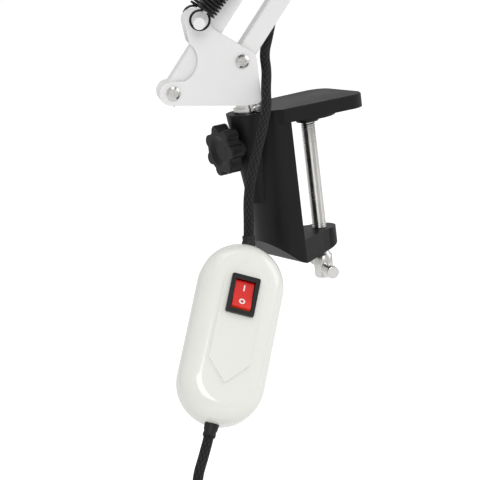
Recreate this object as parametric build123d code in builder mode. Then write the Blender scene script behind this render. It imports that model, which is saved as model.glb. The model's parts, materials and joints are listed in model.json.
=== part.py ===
from build123d import *

import os
from math import atan2, cos, degrees, pi, radians, sin, tan

os.makedirs("parts", exist_ok=True)

# --- driving dimensions, in millimetres and degrees ---------------------------
# The origin is on the clamp screw's axis, at the underside of the upper jaw.
# X runs along the jaw towards its tip, Z is up.

# clamp casting
jaw_gap = 64.0
spine_x = -23.3            # inner face of the spine
spine_depth = 15.0
spine_width = 40.0
plate_thick = 7.5
plate_tip_x = 26.0
plate_tip_width = 46.0
plate_root_width = 41.0
foot_thick = 13.0
foot_tip_radius = 9.0
boss_x = -37.3             # axis of the spindle socket
boss_radius = 11.5
boss_top = 6.8
boss_low = -42.0
boss_low_radius = 6.8
socket_depth = 31.0

# clamp screw
screw_radius = 3.95
thread_pitch = 1.25
screw_top = -3.4
screw_low = -92.0
bar_z = -86.0
bar_radius = 2.5
bar_length = 40.0
bar_angle = -110.0         # direction of the tommy bar about Z
pad_radius = 16.0
pad_top = -0.4
pad_thick = 3.4

# lock knob
knob_z = -10.7
knob_face_x = -57.6
knob_thick = 7.5
knob_radius = 13.8
knob_lobes = 7
stud_radius = 3.0

# arm geometry: u runs along the arm's upright plane, w up from the boss's top
arm_yaw = -24.0
spindle_radius = 5.5
pivot_a = (-38.5, 16.3)    # front tube's pivot on the base bracket
pivot_b = (-0.6, 28.0)     # rear tube's pivot on the base bracket
hook_pin_at = (-22.0, 51.5)
lower_angle = 50.0
lower_length = 380.0
upper_angle = 155.0
upper_length = 340.0
elbow_c = (-30.0, 18.0)    # upper pivots, from the elbow's rear lower pivot
elbow_d = (-17.4, 36.0)
elbow_hook = (-34.0, 60.0)
tube_high = 10.0
tube_wide = 12.0
tube_wall = 1.0
tube_overrun = 6.0
plate_in = 6.8             # inner face of a bracket plate, from the mid-plane
sheet = 1.6
pivot_radius = 2.5
running_gap = 0.05
corner = 7.3

# springs
spring_radius = 5.7
spring_wire = 1.3
spring_off = 15.0          # centre of a spring, from the mid-plane
lower_anchor = 165.0       # along the front tube from its pivot
upper_anchor = 150.0
anchor_radius = 2.0

# head
head_pan_at = (-44.0, -12.0)   # pan pin, from the head's front pivot
neck_drop = 34.0
shade_radius = 75.0
shade_height = 72.0
shade_wall = 1.2

# switch pod
pod_centre = (-84.0, -33.2, -99.1)
pod_yaw = -14.7            # its face turned about Z, then tilted up, then leaned over
pod_pitch = 28.7
pod_lean = 26.1
pod_length = 97.3
pod_width = 44.5
pod_deep = 27.0
pod_wall = 2.0
switch_up = 17.4           # centre of the switch above the pod's centre
switch_long = 21.0
switch_wide = 15.0

# cord
cord_d = 5.4
coil_radius = 31.0
coil_section = 9.0


# --- places -------------------------------------------------------------------
def arm_at(u, w, side=0.0):
    """Row position of a point in the arm's plane; side is towards its far side."""
    a = radians(arm_yaw)
    return Vector(boss_x + u * cos(a) - side * sin(a), u * sin(a) + side * cos(a), boss_top + w)


def arm_dir(angle):
    a, e = radians(arm_yaw), radians(angle)
    return Vector(cos(e) * cos(a), cos(e) * sin(a), sin(e))


def along(point, angle, distance, across=0.0):
    """Point in the arm's plane, a distance along a direction and across it."""
    e = radians(angle)
    return (
        point[0] + distance * cos(e) - across * sin(e),
        point[1] + distance * sin(e) + across * cos(e),
    )


def added(point, offset):
    return (point[0] + offset[0], point[1] + offset[1])


arm_far = Vector(-sin(radians(arm_yaw)), cos(radians(arm_yaw)), 0)
arm_side = Plane(origin=arm_at(0, 0), x_dir=arm_dir(0), z_dir=-arm_far)

elbow_b = along(pivot_b, lower_angle, lower_length)
elbow_a = along(pivot_a, lower_angle, lower_length)
upper_c = added(elbow_b, elbow_c)
upper_d = added(elbow_b, elbow_d)
elbow_pin_at = added(elbow_b, elbow_hook)
head_e = along(upper_c, upper_angle, upper_length)
head_f = along(upper_d, upper_angle, upper_length)
pan_at = added(head_e, head_pan_at)
tilt_at = (pan_at[0], pan_at[1] - neck_drop)
lower_anchor_at = along(pivot_a, lower_angle, lower_anchor)
upper_anchor_at = along(upper_c, upper_angle, upper_anchor)

yaw, pitch, lean = radians(pod_yaw), radians(pod_pitch), radians(pod_lean)
pod_face = Vector(sin(yaw) * cos(pitch), -cos(yaw) * cos(pitch), sin(pitch))
pod_level = Vector(cos(yaw), sin(yaw), 0)
pod_rise = pod_face.cross(pod_level)
pod_right = pod_level * cos(lean) - pod_rise * sin(lean)
pod_up = pod_rise * cos(lean) + pod_level * sin(lean)
pod_plane = Plane(origin=pod_centre, x_dir=pod_right, z_dir=pod_face)


def pod_at(x, y, z=0.0):
    return pod_plane.from_local_coords(Vector(x, y, z))


def save(part, name):
    part.label = name
    export_step(part, f"parts/{name}.step")


# --- clamp casting ------------------------------------------------------------
foot_low = -jaw_gap - foot_thick
spine_out = spine_x - spine_depth
with BuildPart() as clamp_body:
    with BuildSketch(Plane.XY.offset(foot_low)):
        with Locations((spine_x, 0)):
            Ellipse(spine_depth, spine_width / 2)
            Rectangle(40, spine_width, align=(Align.MIN, Align.CENTER), mode=Mode.SUBTRACT)
        with BuildLine():
            Polyline(
                (spine_x, -spine_width / 2),
                (-6.0, -foot_tip_radius - 2.6),
                (0, -foot_tip_radius),
                (0, foot_tip_radius),
                (-6.0, foot_tip_radius + 2.6),
                (spine_x, spine_width / 2),
                close=True,
            )
        make_face()
        Circle(foot_tip_radius)
    extrude(amount=-foot_low + plate_thick)
    with BuildSketch(Plane.XZ.offset(-30)):
        with BuildLine():
            Polyline(
                (spine_out - 2, plate_thick),
                (spine_out - 2, foot_low + 15),
                (spine_out + 13, foot_low),
                (0, foot_low + 1.5),
                (foot_tip_radius + 2, foot_low + 5),
                (foot_tip_radius + 2, -jaw_gap),
                (spine_x, -jaw_gap),
                (spine_x, plate_thick),
                close=True,
            )
        make_face()
        for place in ((spine_out - 2, foot_low + 15), (spine_out + 13, foot_low)):
            fillet(vertices().sort_by_distance(Vector(*place, 0))[0], radius=9)
    extrude(amount=60, mode=Mode.INTERSECT)
    with BuildSketch(Plane.XY):
        with BuildLine():
            Polyline(
                (boss_x, -boss_radius + 0.5),
                (spine_x - 4, -plate_root_width / 2),
                (plate_tip_x, -plate_tip_width / 2),
                (plate_tip_x, plate_tip_width / 2),
                (spine_x - 4, plate_root_width / 2),
                (boss_x, boss_radius - 0.5),
                close=True,
            )
        make_face()
        fillet(vertices().group_by(Axis.X)[-1], radius=10)
    extrude(amount=plate_thick)
    with BuildSketch(Plane.XY.offset(boss_top)):
        with Locations((boss_x, 0)):
            Circle(boss_radius)
    with BuildSketch(Plane.XY.offset(boss_low)):
        with Locations((boss_x + 1.8, 0)):
            Circle(boss_low_radius)
    loft()
    with BuildSketch(Plane.YZ.offset(spine_out - 11)):
        with Locations((0, knob_z)):
            Circle(6.0)
    extrude(amount=8)
    with Locations((boss_x, 0, plate_thick + 1)):
        Hole(spindle_radius + running_gap, depth=socket_depth + 2)
    with Locations((0, 0, -jaw_gap)):
        Hole(screw_radius + 0.08, depth=foot_thick + 2)
    with Locations(Plane.YZ.offset(spine_out - 14)):
        with Locations((0, knob_z)):
            Cylinder(stud_radius + running_gap, 14, align=(Align.CENTER, Align.CENTER, Align.MIN),
                     mode=Mode.SUBTRACT)
    soft_edges = edges().filter_by(Plane.XY).group_by(Axis.Z)[-1]
    chamfer(soft_edges.filter_by(lambda e: e.length > 14), length=0.6)
save(clamp_body.part, "clamp_body")

# --- lock knob: turns in the boss's wall and presses on the spindle ------------
knob_plane = Plane(origin=(knob_face_x + knob_thick, 0, knob_z), x_dir=(0, -1, 0), z_dir=(-1, 0, 0))
with BuildPart() as lock_stud:
    with Locations(Plane(origin=(boss_x - spindle_radius - 0.3, 0, knob_z), z_dir=(-1, 0, 0))):
        stud_long = boss_x - spindle_radius - 0.3 - (knob_face_x + 3.0)
        Cylinder(stud_radius, stud_long, align=(Align.CENTER, Align.CENTER, Align.MIN))
save(lock_stud.part, "lock_stud")
with BuildPart() as lock_knob:
    with BuildSketch(knob_plane):
        Circle(knob_radius - 2.6)
        with PolarLocations(knob_radius - 3.6, knob_lobes):
            Circle(3.6)
    extrude(amount=knob_thick)
    with BuildSketch(knob_plane):
        with PolarLocations(knob_radius + 1.2, knob_lobes, start_angle=180 / knob_lobes):
            Circle(3.2)
    extrude(amount=knob_thick, mode=Mode.SUBTRACT)
    rims = edges().filter_by(Plane.YZ)
    fillet(rims.filter_by(lambda e: e.length > 1), radius=0.8)
    with Locations(Plane(origin=(knob_face_x, 0, knob_z), z_dir=(-1, 0, 0))):
        Cone(5.0, 8.2, 1.4, align=(Align.CENTER, Align.CENTER, Align.MAX), mode=Mode.SUBTRACT)
    with Locations(knob_plane):
        Cylinder(stud_radius, knob_thick - 3.0, align=(Align.CENTER, Align.CENTER, Align.MIN),
                 mode=Mode.SUBTRACT)
save(lock_knob.part, "lock_knob")

# --- clamp screw, tommy bar and pad ---------------------------------------------
thread_root = screw_radius - 0.62
thread_low = bar_z + 9.0
bar_way = Vector(cos(radians(bar_angle)), sin(radians(bar_angle)), 0)
turns = int((screw_top - 2.6 - thread_low) / thread_pitch)
with BuildPart() as clamp_screw:
    with BuildSketch(Plane.XZ):
        with BuildLine():
            steps = [(0, screw_low), (4.6, screw_low), (5.2, screw_low + 0.8), (5.2, bar_z + 6),
                     (thread_root, thread_low)]
            for turn in range(turns):
                low = thread_low + turn * thread_pitch
                steps += [(screw_radius, low + 0.5 * thread_pitch), (thread_root, low + thread_pitch)]
            steps += [(thread_root, screw_top - 2.0), (2.6, screw_top - 2.0), (2.6, screw_top + 1.4),
                      (0, screw_top + 1.4)]
            Polyline(*steps, close=True)
        make_face()
    revolve(axis=Axis.Z)
    with Locations(Plane(origin=(0, 0, bar_z), z_dir=bar_way)):
        Cylinder(bar_radius + 0.08, 20, mode=Mode.SUBTRACT)
save(clamp_screw.part, "clamp_screw")
with BuildPart() as tommy_bar:
    with Locations(Plane(origin=(0, 0, bar_z), z_dir=bar_way)):
        Cylinder(bar_radius, bar_length)
        for side in (-1, 1):
            with Locations((0, 0, side * (bar_length / 2 - 1.5))):
                Cylinder(bar_radius + 0.9, 3)
    for end in (0, -1):
        fillet(edges().filter_by(GeomType.CIRCLE).group_by(Axis((0, 0, bar_z), bar_way))[end], radius=0.6)
save(tommy_bar.part, "tommy_bar")
with BuildPart() as pressure_pad:
    with BuildSketch(Plane.XZ):
        with BuildLine():
            Polyline((0, pad_top), (pad_radius - 0.6, pad_top), (pad_radius, pad_top - 0.6),
                     (pad_radius - 0.4, pad_top - 2.0), (7.0, pad_top - 2.6),
                     (6.0, pad_top - pad_thick - 1.4), (2.7, pad_top - pad_thick - 1.4),
                     (2.7, screw_top + 1.5), (0, screw_top + 1.5), close=True)
        make_face()
    revolve(axis=Axis.Z)
save(pressure_pad.part, "pressure_pad")

# --- base bracket: a folded channel on a spindle ----------------------------------
web_low = 4.6              # underside of the channel's web above the boss
with BuildPart() as spindle:
    with Locations((boss_x, 0, boss_top - socket_depth + 2.0)):
        Cylinder(spindle_radius, socket_depth - 2.0 + web_low, align=(Align.CENTER, Align.CENTER, Align.MIN))
    with Locations((boss_x, 0, plate_thick + 0.2)):
        Cylinder(7.2, 1.6, align=(Align.CENTER, Align.CENTER, Align.MIN))
    with Locations((boss_x, 0, boss_top + 3.0)):
        Cylinder(4.15, 3.3, align=(Align.CENTER, Align.CENTER, Align.MIN))
    with Locations((boss_x, 0, boss_top + web_low + sheet + 0.02)):
        Cylinder(6.0, 1.4, align=(Align.CENTER, Align.CENTER, Align.MIN))
save(spindle.part, "spindle")


def pivot_holes(points, radius, half_width):
    with Locations(arm_side):
        with Locations(*[(u, w, 0) for u, w in points]):
            Cylinder(radius, 2 * half_width, mode=Mode.SUBTRACT)


with BuildPart() as base_bracket:
    cheek_out = plate_in + sheet
    with BuildSketch(arm_side.offset(-cheek_out)):
        with BuildLine():
            waist = ThreePointArc((-26.9, 41), (-24.0, 30.0), (-32.0, 21.6))
            Polyline(waist @ 1, (-45.8, 22.6), (-45.8, 10.6), (-2, web_low), (corner, web_low),
                     (corner, 30.4), (-14.5, 47.4), (-15.5, 58), (-28.7, 56.6), waist @ 0)
        make_face()
        rounds = ((-45.8, 22.6, 6.0), (-45.8, 10.6, 6.0), (corner, web_low, 3.0), (corner, 30.4, 6.0),
                  (-14.5, 47.4, 6.0), (-15.5, 58, 5.5), (-28.7, 56.6, 5.5))
        for u, w, radius in rounds:
            fillet(vertices().sort_by_distance(Vector(u, w, 0))[0], radius=radius)
    extrude(amount=2 * cheek_out)
    with BuildSketch(arm_side.offset(-plate_in)):
        with BuildLine():
            Polyline((corner - sheet, web_low + sheet), (corner - sheet, 70), (-60, 70), (-60, 0),
                     (-16, 0), (-16, web_low + sheet), close=True)
        make_face()
    extrude(amount=2 * plate_in, mode=Mode.SUBTRACT)
    with BuildSketch(arm_side.offset(-plate_in)):
        with Locations((corner, 22)):
            Rectangle(12, 60, align=(Align.CENTER, Align.MIN))
    extrude(amount=2 * plate_in, mode=Mode.SUBTRACT)
    pivot_holes([pivot_a, pivot_b, hook_pin_at], pivot_radius + 0.02, 12)
    with Locations((boss_x, 0, boss_top)):
        Cylinder(4.2, 30, mode=Mode.SUBTRACT)
save(base_bracket.part, "base_bracket")


# --- pivots: pan head screws, nuts, washers ------------------------------------
def add_screw(point, half_width, recess=True):
    """Pan head screw through a pair of plates, head on the near side."""
    grip = half_width + 0.05
    head = arm_side.offset(grip).location * Location((point[0], point[1], 0))
    with Locations(head):
        Cylinder(pivot_radius, 2 * grip + 4.0, align=(Align.CENTER, Align.CENTER, Align.MAX))
        Cylinder(3.6, 1.2, align=(Align.CENTER, Align.CENTER, Align.MIN))
        with Locations((0, 0, 1.2)):
            Cone(3.6, 2.4, 1.2, align=(Align.CENTER, Align.CENTER, Align.MIN))
        if recess:
            with Locations((0, 0, 2.4)):
                Box(3.9, 0.8, 1.5, align=(Align.CENTER, Align.CENTER, Align.MAX), mode=Mode.SUBTRACT)
                Box(0.8, 3.9, 1.5, align=(Align.CENTER, Align.CENTER, Align.MAX), mode=Mode.SUBTRACT)


def screws(points, half_width, name):
    with BuildPart() as group:
        for point in points:
            add_screw(point, half_width)
    save(group.part, name)


def nuts(points, half_width, name):
    with BuildPart() as group:
        with BuildSketch(arm_side.offset(-half_width - 0.05)):
            with Locations(*points):
                RegularPolygon(4.3, 6)
                Circle(pivot_radius, mode=Mode.SUBTRACT)
        extrude(amount=-3.2)
    save(group.part, name)


def washers(points, name):
    with BuildPart() as group:
        for low in (tube_wide / 2 + 0.05, -plate_in + 0.05):
            with BuildSketch(arm_side.offset(low)):
                with Locations(*points):
                    Circle(4.6)
                    Circle(pivot_radius + 0.02, mode=Mode.SUBTRACT)
            extrude(amount=plate_in - tube_wide / 2 - 0.1)
    save(group.part, name)


def hook_pins(point, name):
    """A stub on each plate: rivet head inside, shank and end collar outside."""
    reach = spring_off + 6.0
    with BuildPart() as group:
        for side in (-1, 1):
            base = Plane(arm_side.location * Location((point[0], point[1], 0)))
            if side < 0:
                base = Plane(origin=base.origin, x_dir=base.x_dir, z_dir=-base.z_dir)
            with Locations(base.offset(plate_in - 0.6)):
                Cylinder(pivot_radius, reach - plate_in + 0.6, align=(Align.CENTER, Align.CENTER, Align.MIN))
            with Locations(base.offset(plate_in - 0.6)):
                Cylinder(3.4, 0.6, align=(Align.CENTER, Align.CENTER, Align.MIN))
            with Locations(base.offset(reach - 1.4)):
                Cylinder(3.1, 1.4, align=(Align.CENTER, Align.CENTER, Align.MIN))
    save(group.part, name)


screws([pivot_a, pivot_b], cheek_out, "base_pivot_screws")
nuts([pivot_a, pivot_b], cheek_out, "base_pivot_nuts")
washers([pivot_a, pivot_b], "base_washers")
hook_pins(hook_pin_at, "base_hook_pins")


# --- square tubes ----------------------------------------------------------------
def square_tube(start, angle, length, name, anchor=None, cord_hole=None):
    low = along(start, angle, -tube_overrun)
    section = Plane(origin=arm_at(*low), x_dir=arm_far, z_dir=arm_dir(angle))
    end = along(start, angle, length)
    with BuildPart() as tube:
        with BuildSketch(section):
            RectangleRounded(tube_wide, tube_high, 1.4)
            RectangleRounded(tube_wide - 2 * tube_wall, tube_high - 2 * tube_wall, 0.6, mode=Mode.SUBTRACT)
        extrude(amount=length + 2 * tube_overrun)
        pivot_holes([start, end], pivot_radius + running_gap, 10)
        if anchor:
            pivot_holes([anchor], anchor_radius + 0.02, 10)
        if cord_hole:
            with Locations(arm_at(*cord_hole, side=tube_wide / 2 + 0.5)):
                Sphere(4.0, mode=Mode.SUBTRACT)
    save(tube.part, name)


def anchor_pin(point, name):
    """Cross pin through a tube, with a collar at each end for a spring's loop."""
    with BuildPart() as pin:
        with Locations(arm_side.location * Location((point[0], point[1], 0))):
            Cylinder(anchor_radius, 2 * (spring_off + 6))
            for side in (-1, 1):
                with Locations((0, 0, side * (spring_off + 5.3))):
                    Cylinder(3.4, 1.4)
                with Locations((0, 0, side * (tube_wide / 2 + 0.75))):
                    Cylinder(3.4, 1.4)
    save(pin.part, name)


cord_hole_at = along(pivot_b, lower_angle, 42.0)
square_tube(pivot_a, lower_angle, lower_length, "lower_front_tube", anchor=lower_anchor_at)
square_tube(pivot_b, lower_angle, lower_length, "lower_rear_tube", cord_hole=cord_hole_at)
square_tube(upper_c, upper_angle, upper_length, "upper_front_tube", anchor=upper_anchor_at)
square_tube(upper_d, upper_angle, upper_length, "upper_rear_tube")
anchor_pin(lower_anchor_at, "lower_anchor_pin")
anchor_pin(upper_anchor_at, "upper_anchor_pin")


# --- extension springs: plain bodies with a loop at each end --------------------------
def springs(start, end, name):
    span = Vector(*end, 0) - Vector(*start, 0)
    angle = degrees(atan2(span.Y, span.X))
    loop = spring_radius - spring_wire / 2
    hang = loop - spring_wire / 2 - 0.1
    low_end = hang - pivot_radius + loop
    body = span.length - low_end - (hang - anchor_radius + loop)
    with BuildPart() as pair:
        for side in (-1, 1):
            low = arm_at(*along(start, angle, low_end), side=side * spring_off)
            axis = Plane(origin=low, x_dir=arm_far, z_dir=arm_dir(angle))
            with Locations(axis):
                Cylinder(spring_radius, body, align=(Align.CENTER, Align.CENTER, Align.MIN))
                with Locations((0, 0, spring_wire)):
                    Cylinder(spring_radius - spring_wire, body - 2 * spring_wire,
                             align=(Align.CENTER, Align.CENTER, Align.MIN), mode=Mode.SUBTRACT)
            for point, way, pin in ((start, 1, pivot_radius), (end, -1, anchor_radius)):
                middle = arm_at(*along(point, angle, way * (hang - pin)), side=side * spring_off)
                with Locations(Plane(origin=middle, x_dir=arm_dir(angle), z_dir=-arm_far)):
                    Torus(loop, spring_wire / 2)
    save(pair.part, name)


springs(hook_pin_at, lower_anchor_at, "lower_springs")
springs(elbow_pin_at, upper_anchor_at, "upper_springs")


# --- elbow and head plates ---------------------------------------------------------
def plates(points, name, holes):
    """Two flat cheeks with a rounded outline around a ring of points."""
    with BuildPart() as pair:
        for low in (plate_in, -plate_in - sheet):
            with BuildSketch(arm_side.offset(low)):
                with BuildLine():
                    Polyline(*points, close=True)
                make_face()
                offset(amount=corner)
            extrude(amount=sheet)
        pivot_holes(holes, pivot_radius + 0.02, 12)
    save(pair.part, name)


elbow_points = [elbow_a, elbow_b, upper_d, elbow_pin_at, upper_c]
plates(elbow_points, "elbow_plates", elbow_points)
elbow_pivots = [elbow_a, elbow_b, upper_c, upper_d]
screws(elbow_pivots, cheek_out, "elbow_screws")
nuts(elbow_pivots, cheek_out, "elbow_nuts")
washers(elbow_pivots, "elbow_washers")
hook_pins(elbow_pin_at, "elbow_hook_pins")

plates([head_e, head_f, added(pan_at, (0, 6)), added(pan_at, (0, -1))], "head_plates",
       [head_e, head_f])
screws([head_e, head_f], cheek_out, "head_screws")
nuts([head_e, head_f], cheek_out, "head_nuts")
washers([head_e, head_f], "head_washers")

# --- head: pan block, knuckle, neck, shade and light ------------------------------
with BuildPart() as pan_block:
    with Locations(arm_side.location * Location((pan_at[0], pan_at[1], 0))):
        Box(13, 20, 2 * plate_in)
    with Locations(arm_at(*pan_at)):
        Cylinder(4.05, 40, mode=Mode.SUBTRACT)
save(pan_block.part, "pan_block")
block_base = pan_at[1] - 10.0
with BuildPart() as knuckle:
    with Locations(arm_at(pan_at[0], block_base - 0.3)):
        Cylinder(4.0, 25, align=(Align.CENTER, Align.CENTER, Align.MIN))
        Cylinder(8.0, 5, align=(Align.CENTER, Align.CENTER, Align.MAX))
    ear_low = tilt_at[1] - 7.0
    with Locations(arm_side.location * Location((tilt_at[0], (ear_low + block_base - 3) / 2, 0))):
        Box(13, block_base - 3 - ear_low, 16)
        Box(20, block_base - 8 - ear_low, 8.4, mode=Mode.SUBTRACT)
    with Locations(arm_side.location * Location((tilt_at[0], ear_low, 0))):
        Box(20, 2 * (block_base - 10 - ear_low), 8.4, mode=Mode.SUBTRACT)
    pivot_holes([tilt_at], pivot_radius + running_gap, 12)
save(knuckle.part, "knuckle")
with BuildPart() as pan_nut:
    with Locations(arm_at(pan_at[0], block_base + 20.2)):
        Cylinder(6.2, 4.0, align=(Align.CENTER, Align.CENTER, Align.MIN))
        Cylinder(4.02, 4.0, align=(Align.CENTER, Align.CENTER, Align.MIN), mode=Mode.SUBTRACT)
save(pan_nut.part, "pan_nut")
shade_top = tilt_at[1] - 24.0
with BuildPart() as neck:
    with Locations(arm_at(tilt_at[0], shade_top + 1.0)):
        Cylinder(12.0, 7.0, align=(Align.CENTER, Align.CENTER, Align.MIN))
    with Locations(arm_side.location * Location((tilt_at[0], (shade_top + 6 + tilt_at[1]) / 2, 0))):
        Box(11, tilt_at[1] - shade_top - 6, 8.0)
    with Locations(arm_side.location * Location((tilt_at[0], tilt_at[1], 0))):
        Cylinder(5.5, 8.0)
    pivot_holes([tilt_at], pivot_radius + 0.02, 12)
save(neck.part, "head_neck")
with BuildPart() as tilt_bolt:
    with Locations(arm_side.location * Location((tilt_at[0], tilt_at[1], 0))):
        Cylinder(pivot_radius, 26)
    with Locations(arm_side.offset(8.3).location * Location((tilt_at[0], tilt_at[1], 0))):
        Cylinder(4.4, 4.7, align=(Align.CENTER, Align.CENTER, Align.MIN))
save(tilt_bolt.part, "tilt_bolt")
with BuildPart() as tilt_knob:
    with BuildSketch(arm_side.offset(-8.4)):
        with Locations(tilt_at):
            Circle(8.0)
            with PolarLocations(7.0, 5):
                Circle(3.0)
            Circle(pivot_radius + running_gap, mode=Mode.SUBTRACT)
    extrude(amount=-9.0)
save(tilt_knob.part, "tilt_knob")

head_axis = Plane(origin=arm_at(tilt_at[0], shade_top), x_dir=arm_dir(0), z_dir=(0, 0, 1))


def turned(points, name):
    """Piece turned about the shade's axis; points are radius and height below its top."""
    profile = Plane(origin=head_axis.origin, x_dir=head_axis.x_dir, z_dir=-arm_far)
    with BuildPart() as piece:
        with BuildSketch(profile):
            with BuildLine():
                Polyline(*points, close=True)
            make_face()
        revolve(axis=Axis(head_axis.origin, (0, 0, 1)))
    save(piece.part, name)


bell = []
for step in range(13):
    a = radians(90 * step / 12)
    bell.append((14 + (shade_radius - 14) * sin(a) ** 1.15, -34 - (shade_height - 34) * (1 - cos(a))))
outer = [(0, 0), (14, 0), (26, -4), (30, -14), (31, -30)] + [p for p in bell if p[0] > 34]
inner = [(max(0, x - shade_wall), z - shade_wall) for x, z in outer[1:-1]]
lip = [(shade_radius + 1.4, -shade_height - 1.0), (shade_radius + 1.4, -shade_height - 3.4),
       (shade_radius - shade_wall, -shade_height - 3.4)]
turned(outer + lip + [(shade_radius - shade_wall, outer[-1][1])] + inner[::-1] + [(0, -shade_wall)],
       "shade")
turned([(0, -30), (26, -30), (26, -22), (27.8, -22), (27.8, -33), (0, -33)], "heat_sink")
turned([(0, -33.2), (24, -33.2), (24, -34.8), (0, -34.8)], "led_board")
turned([(24.4, -33.2), (27.4, -33.2), (33, -38.6), (60.5, -52), (60.5, -53.2), (32, -40.4), (24.4, -34.8)],
       "reflector")
turned([(0, -56), (65.0, -56), (65.0, -58.4), (0, -58.4)], "diffuser")

# --- switch pod -------------------------------------------------------------------
seam = 1.5


def capsule(grow):
    """The pod's full round body, or its hollow when grow is below zero."""
    half = pod_deep / 2 + grow
    with BuildSketch(pod_plane.offset(-half)) as outline:
        SlotOverall(pod_length + 2 * grow, pod_width + 2 * grow, rotation=90)
    extrude(outline.sketch, amount=2 * half)


with BuildPart() as pod_whole:
    capsule(0)
    fillet(edges(), radius=10.5)
with BuildPart() as pod_hollow:
    capsule(-pod_wall)
    fillet(edges(), radius=8.5)
seam_plane = pod_plane.offset(seam)


def pod_shell(keep, name):
    with BuildPart() as shell:
        add(pod_whole.part)
        add(pod_hollow.part, mode=Mode.SUBTRACT)
        split(bisect_by=seam_plane, keep=keep)
        if keep == Keep.TOP:
            with BuildSketch(pod_plane.offset(pod_deep / 2 - 1.0)):
                with Locations((0, 3.7)):
                    Polygon((-10.5, 22), (0, 33.5), (10.5, 22), (10.5, -22), (0, -33.5), (-10.5, -22),
                            align=None)
            extrude(amount=1.8)
            with BuildSketch(pod_plane.offset(pod_deep / 2 - 6)):
                with Locations((0, switch_up)):
                    Rectangle(switch_wide - 2, switch_long - 2)
            extrude(amount=12, mode=Mode.SUBTRACT)
        else:
            with Locations(pod_plane.offset(-pod_deep / 2 - 1)):
                with Locations((0, 30), (0, -30)):
                    Cylinder(2.65, 2.85, align=(Align.CENTER, Align.CENTER, Align.MIN), mode=Mode.SUBTRACT)
                    Cylinder(1.45, 6, align=(Align.CENTER, Align.CENTER, Align.MIN), mode=Mode.SUBTRACT)
        for end in (-1, 1):
            mouth = Plane(origin=pod_at(0, end * (pod_length / 2 - 6)), z_dir=pod_up * end)
            with Locations(mouth):
                Cylinder(cord_d / 2 + 0.05, 8, align=(Align.CENTER, Align.CENTER, Align.MIN),
                         mode=Mode.SUBTRACT)
    save(shell.part, name)


pod_shell(Keep.TOP, "pod_front")
pod_shell(Keep.BOTTOM, "pod_back")

panel_top = pod_deep / 2 + 0.8
rocker_half = (switch_long - 5.6) / 2
rocker_pin = 0.8
rocker_side = Plane(origin=pod_at(0, switch_up, panel_top - 1.2), x_dir=pod_up, z_dir=pod_right)
with BuildPart() as switch_body:
    with BuildSketch(pod_plane.offset(panel_top + 0.05)):
        with Locations((0, switch_up)):
            RectangleRounded(switch_wide, switch_long, 1.0)
            Rectangle(switch_wide - 4.6, switch_long - 5.0, mode=Mode.SUBTRACT)
    extrude(amount=1.6)
    with BuildSketch(pod_plane.offset(panel_top - 12)):
        with Locations((0, switch_up)):
            Rectangle(switch_wide - 2.4, switch_long - 2.4)
    extrude(amount=12.2)
    with BuildSketch(pod_plane.offset(panel_top - 8)):
        with Locations((0, switch_up)):
            Rectangle(switch_wide - 4.6, switch_long - 5.0)
    extrude(amount=12, mode=Mode.SUBTRACT)
    with Locations(rocker_side):
        Cylinder(rocker_pin + 0.05, switch_wide - 2.6, mode=Mode.SUBTRACT)
save(switch_body.part, "switch_body")
with BuildPart() as rocker:
    with BuildSketch(rocker_side.offset(-(switch_wide - 5.2) / 2)):
        with BuildLine():
            raised = ThreePointArc((-rocker_half, 1.0), (-7.35, 2.6), (-6.55, 4.2))
            Polyline(raised @ 1, (0, 2.1), (rocker_half, 1.0), (rocker_half, -1.4), (0, -3.8),
                     (-rocker_half, -1.4), raised @ 0)
        make_face()
    extrude(amount=switch_wide - 5.2)
    with Locations(rocker_side):
        Cylinder(rocker_pin, switch_wide - 2.8)
save(rocker.part, "rocker")
with BuildPart() as driver_board:
    with BuildSketch(pod_plane.offset(-4)):
        with Locations((0, -10)):
            Rectangle(28, 30)
    extrude(amount=1.6)
    for x, y, wide, long, high in ((-6, -3, 9, 12, 8), (7, -3, 8, 8, 8), (0, -18, 14, 10, 9)):
        with Locations(pod_plane.offset(-2.4)):
            with Locations((x, y)):
                Box(wide, long, high, align=(Align.CENTER, Align.CENTER, Align.MIN))
save(driver_board.part, "driver_board")
with BuildPart() as pod_screws:
    with Locations(pod_plane.offset(-pod_deep / 2 + 0.2)):
        with Locations((0, 30), (0, -30)):
            Cylinder(2.6, 1.6, align=(Align.CENTER, Align.CENTER, Align.MIN))
            Cylinder(1.4, 6, align=(Align.CENTER, Align.CENTER, Align.MIN))
save(pod_screws.part, "pod_screws")


# --- cords -----------------------------------------------------------------------
def cord(points, diameter, name):
    """Round cord along straight runs joined by arcs as large as the runs allow."""
    radii = []
    for before, here, after in zip(points, points[1:], points[2:]):
        first, second = here - before, after - here
        turn = radians(first.get_angle(second))
        radii.append(0.45 * min(first.length, second.length) / tan(turn / 2))
    with BuildPart() as tube:
        with BuildLine() as path:
            route = FilletPolyline(*points, radius=radii)
        with BuildSketch(Plane(origin=path.line @ 0, z_dir=path.line % 0)):
            Circle(diameter / 2)
        sweep()
    length = route.length
    full = pi * diameter ** 2 / 4 * length
    print(name, "length", round(length, 1), "volume ratio", round(tube.part.volume / full, 4))
    print("   radii", [round(r) for r in radii])
    save(tube.part, name)
    return length


upper_route = [
    arm_at(*cord_hole_at, side=tube_wide / 2 + 3.0),
    arm_at(*along(pivot_b, lower_angle, 30.0, -3.5), side=11.5),
    arm_at(*along(pivot_b, lower_angle, 18.0, -8.2), side=10.5),
    arm_at(13.4, 28.5, 6.0),
    arm_at(12.4, 20.5, -4.0),
    arm_at(9.4, 12.5, -13.0),
    Vector(-38.0, -21.0, 10.8),
    Vector(-44.5, -23.2, -1.5),
    Vector(-52.5, -24.5, -16.5),
    Vector(-57.5, -23.5, -33.0),
    Vector(-55.0, -16.8, -49.5),
    pod_at(0, pod_length / 2 + 0.5),
]
cord(upper_route, cord_d, "cord_upper")

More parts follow.
